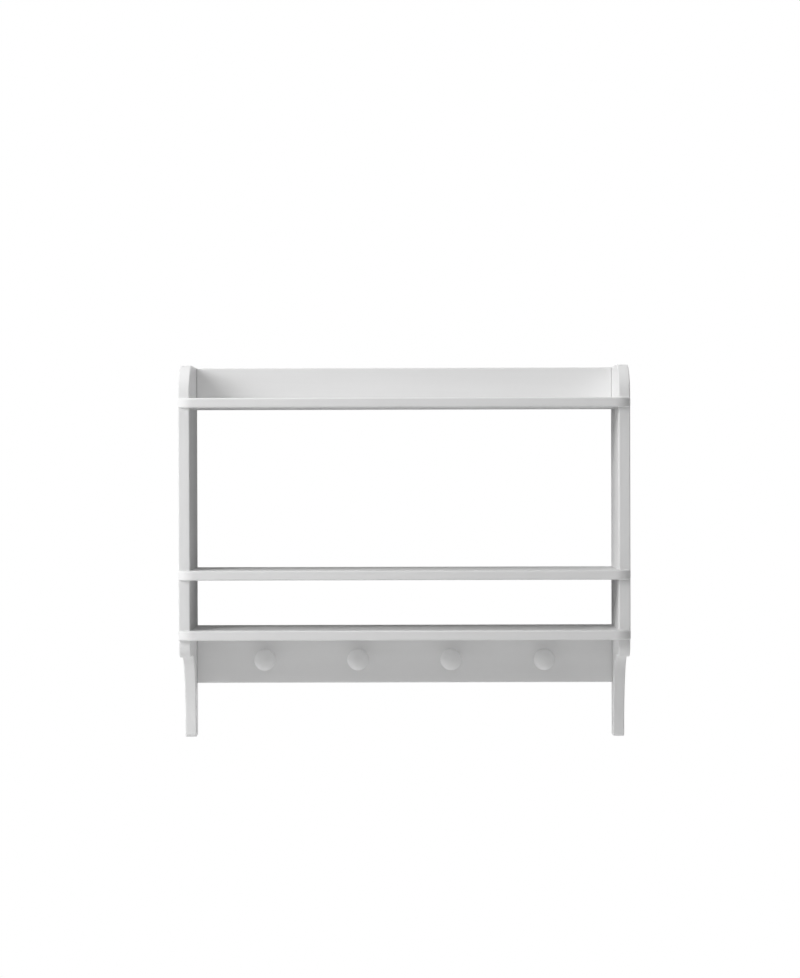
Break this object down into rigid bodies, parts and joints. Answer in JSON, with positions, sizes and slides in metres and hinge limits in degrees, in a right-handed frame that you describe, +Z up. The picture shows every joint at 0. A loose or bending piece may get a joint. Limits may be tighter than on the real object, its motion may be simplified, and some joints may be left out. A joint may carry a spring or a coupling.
{
  "type": "wall shelf with peg rail",
  "caption": "White painted wall rack: shaped side panels, lapped rounded shelves, a back board over the top shelf and a rail of turned pegs underneath; hangs on keyhole plates.",
  "frame": {"origin": "midway between the two keyhole entries, on the plane of the wall", "axes": "+X along the shelves, to the right as seen from the front; +Y into the wall; +Z up"},
  "size_m": [0.7, 0.162, 0.5896],
  "materials": {
    "white_paint": "satin white paint",
    "plywood": "bare plywood",
    "zinc_plated_steel": "zinc plated"
  },
  "bodies": {
    "root": {"left_side_panel": "white_paint", "right_side_panel": "white_paint", "top_shelf": "white_paint", "middle_shelf": "white_paint", "bottom_shelf": "white_paint", "back_board": "white_paint", "peg_rail": "white_paint", "peg_1": "white_paint", "peg_2": "white_paint", "peg_3": "white_paint", "peg_4": "white_paint", "top_shelf_tongues": "plywood", "middle_shelf_tongues": "plywood", "bottom_shelf_tongues": "plywood", "back_board_tongues": "plywood", "peg_rail_tongues": "plywood", "left_keyhole_plate": "zinc_plated_steel", "left_plate_screws": "zinc_plated_steel", "right_keyhole_plate": "zinc_plated_steel", "right_plate_screws": "zinc_plated_steel"}
  },
  "joints": []
}
